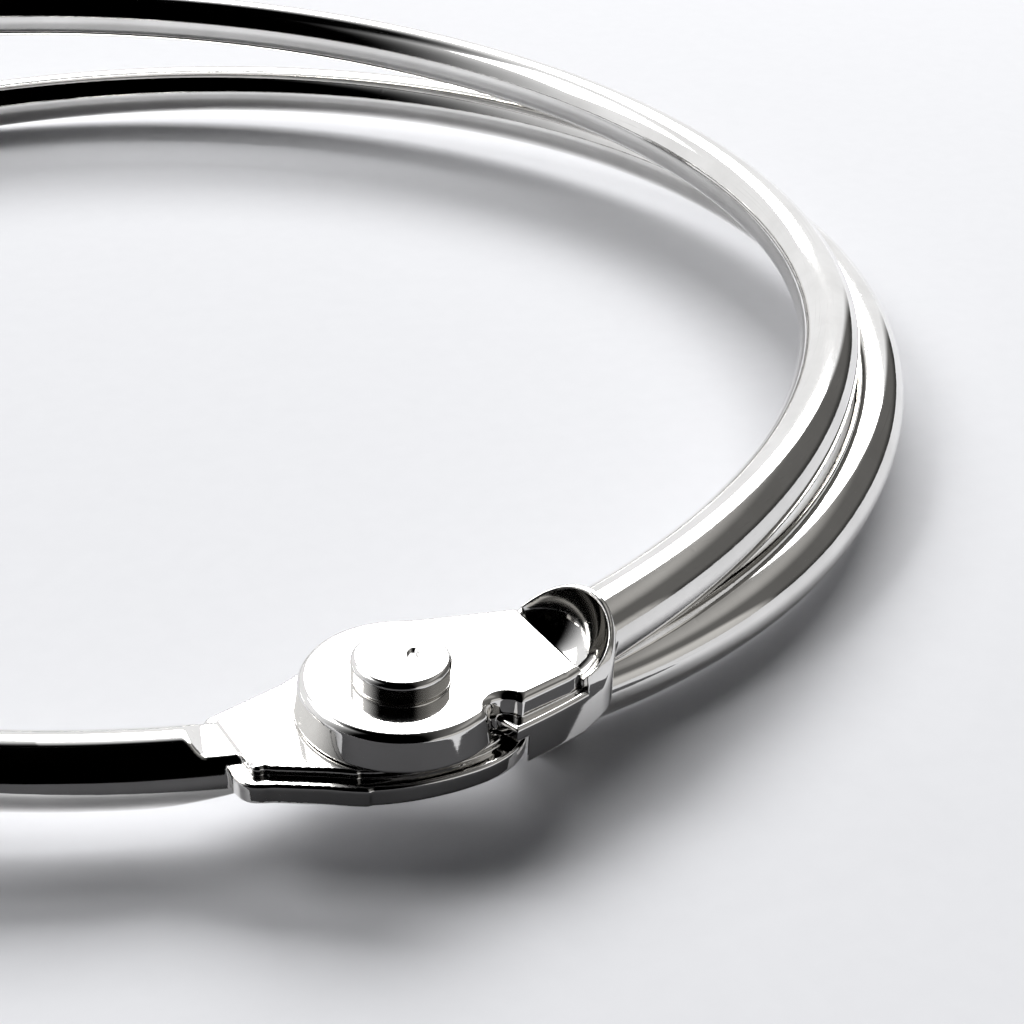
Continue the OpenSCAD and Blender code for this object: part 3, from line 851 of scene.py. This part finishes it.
# %% Hood cloth
def hood_cloth_and_glow():
    """Black cloth with one wide opening, and to the right of it a grey wall and a pale patch that
    glow: painted reflections.
    """
    mat = bpy.data.materials.new("hood_cloth_and_glow")
    mat.use_nodes = True
    tree = mat.node_tree
    tree.nodes.clear()
    place = add(tree, "ShaderNodeTexCoord")
    plain = add(tree, "ShaderNodeSeparateXYZ", {"Vector": place.outputs["Object"]})
    turned = add(tree, "ShaderNodeVectorRotate", {
        "Vector": place.outputs["Object"], "Angle": -np.radians(OPENING_MIDDLE)},
        rotation_type="Z_AXIS")
    around = add(tree, "ShaderNodeSeparateXYZ", {"Vector": turned.outputs["Vector"]})
    aside = add(tree, "ShaderNodeMath", {
        0: around.outputs["Y"], 1: around.outputs["X"]}, operation="ARCTAN2")

    def fade(value, start, end, low=0.0, high=1.0):
        node = add(tree, "ShaderNodeMapRange", {
            "Value": value, "From Min": start, "From Max": end, "To Min": low, "To Max": high},
            interpolation_type="SMOOTHSTEP")
        return node.outputs["Result"]

    def sum_or_product(operation, a, b):
        return add(tree, "ShaderNodeMath", {0: a, 1: b}, operation=operation).outputs[0]

    right_of, height_of = plain.outputs["X"], plain.outputs["Z"]
    sides = sum_or_product("MULTIPLY", fade(aside.outputs[0], *OPENING_RIGHT),
                           fade(aside.outputs[0], *OPENING_LEFT, 1.0, 0.0))
    opening = sum_or_product("MULTIPLY", sides, fade(height_of, *OPENING_TOP, 1.0, 0.0))
    # Painted reflections: where the hood glows grey and pale, the metal mirrors a lit room that no
    # lamp lights.
    low_wall_glow = sum_or_product("MULTIPLY", fade(right_of, 0.1, 0.5, 0.0, 0.13),
                              fade(height_of, 0.03, 0.2, 0.3, 1.0))
    high_wall_glow = sum_or_product("MULTIPLY", fade(right_of, 0.45, 0.7),
                               fade(height_of, 0.5, 0.7, 0.0, 0.3))
    toward = add(tree, "ShaderNodeVectorMath", {
        0: place.outputs["Object"], 1: (0.64, -0.77, 0)}, operation="DOT_PRODUCT")
    patch_glow = sum_or_product("MULTIPLY", fade(toward.outputs["Value"], 0.84, 0.90, 0.0, 0.5),
                           fade(height_of, 0.25, 0.42, 1.0, 0.0))
    glow = sum_or_product("ADD", sum_or_product("ADD", low_wall_glow, high_wall_glow), patch_glow)
    glowing_cloth = add(tree, "ShaderNodeEmission", {"Color": (1.0, 0.98, 0.95, 1), "Strength": glow})
    clear = add(tree, "ShaderNodeBsdfTransparent")
    mixed = add(tree, "ShaderNodeMixShader", {
        0: opening, 1: glowing_cloth.outputs[0], 2: clear.outputs[0]})
    add(tree, "ShaderNodeOutputMaterial", {"Surface": mixed.outputs[0]})
    return mat


# %% Hang the hood
def only_reflected(obj, material):
    """Hides a piece of the stage from the camera, the shadows and the table's light."""
    obj.data.materials.append(material)
    obj.visible_camera = obj.visible_diffuse = obj.visible_shadow = False


only_reflected(dome(), hood_cloth_and_glow())

# %% Dark cloth in front, painted shade for the reflections
SHADE_CLOTH_OUTLINE = [(-900, -43.5), (20, -43.5), (20, -50.5), (7, -50.5), (7, -900), (-900, -900)]


def dark_shade_cloth():
    """A dull cloth that reflects about a tenth of the light. Only reflections see it, as painted
    shade.
    """
    mat = bpy.data.materials.new("dark_shade_cloth")
    mat.use_nodes = True
    shader = mat.node_tree.nodes["Principled BSDF"]
    # Painted shade: the near faces mirror this dark sheet where they would mirror the shaded table
    # in front.
    shader.inputs["Base Color"].default_value = (0.09, 0.09, 0.095, 1)
    shader.inputs["Roughness"].default_value = 0.9
    shader.inputs["Specular IOR Level"].default_value = 0.1
    return mat


front_shade_cloth = on_table("front_shade_cloth", SHADE_CLOTH_OUTLINE, 0.02, [[0, 5, 4, 3], [0, 3, 2, 1]])
only_reflected(front_shade_cloth, dark_shade_cloth())

# %% [markdown]
# ## The room
# The room itself adds hardly any light, so that the shadows stay deep. What the eye or the metal
# sees of it is pale, because the background and the opening in the hood should be nearly white. A
# light path node tells the two uses of the world apart.

# %% Room
world = bpy.data.worlds.new("room")
bpy.context.scene.world = world
world.use_nodes = True
tree = world.node_tree
tree.nodes.clear()
path = add(tree, "ShaderNodeLightPath")
seen = add(tree, "ShaderNodeMath", {
    0: path.outputs["Is Camera Ray"], 1: path.outputs["Is Glossy Ray"]}, operation="MAXIMUM")
seen = add(tree, "ShaderNodeMath", {
    0: seen.outputs[0], 1: path.outputs["Is Transmission Ray"]}, operation="MAXIMUM")
ambient = add(tree, "ShaderNodeBackground", {"Color": (0.93, 0.95, 1.0, 1), "Strength": 0.05})
pale = add(tree, "ShaderNodeBackground", {"Color": (0.95, 0.955, 0.97, 1), "Strength": 1.0})
mixed = add(tree, "ShaderNodeMixShader", {
    0: seen.outputs[0], 1: ambient.outputs[0], 2: pale.outputs[0]})
add(tree, "ShaderNodeOutputWorld", {"Surface": mixed.outputs[0]})
print("room nodes:", [node.bl_idname for node in tree.nodes])

# %% [markdown]
# ## Camera
# A short telephoto lens looks down on the hinge from about thirty degrees, close enough for the
# near side of the ring to loom. The camera is tipped slightly to one side.

# %% Camera
camera = bpy.data.objects.new("camera", bpy.data.cameras.new("camera"))
camera.data.lens = 74.14
camera.data.clip_start, camera.data.clip_end = 0.005, 50
camera.location = (-0.022466, -0.099283, 0.048394)
camera.rotation_euler = np.radians((58.954, -2.614, -22.428))
bpy.context.scene.collection.objects.link(camera)
bpy.context.scene.camera = camera
bpy.context.scene.view_settings.view_transform = "Standard"
print(f"the camera is {camera.location.length * 1000:.0f} mm from the ring's centre")
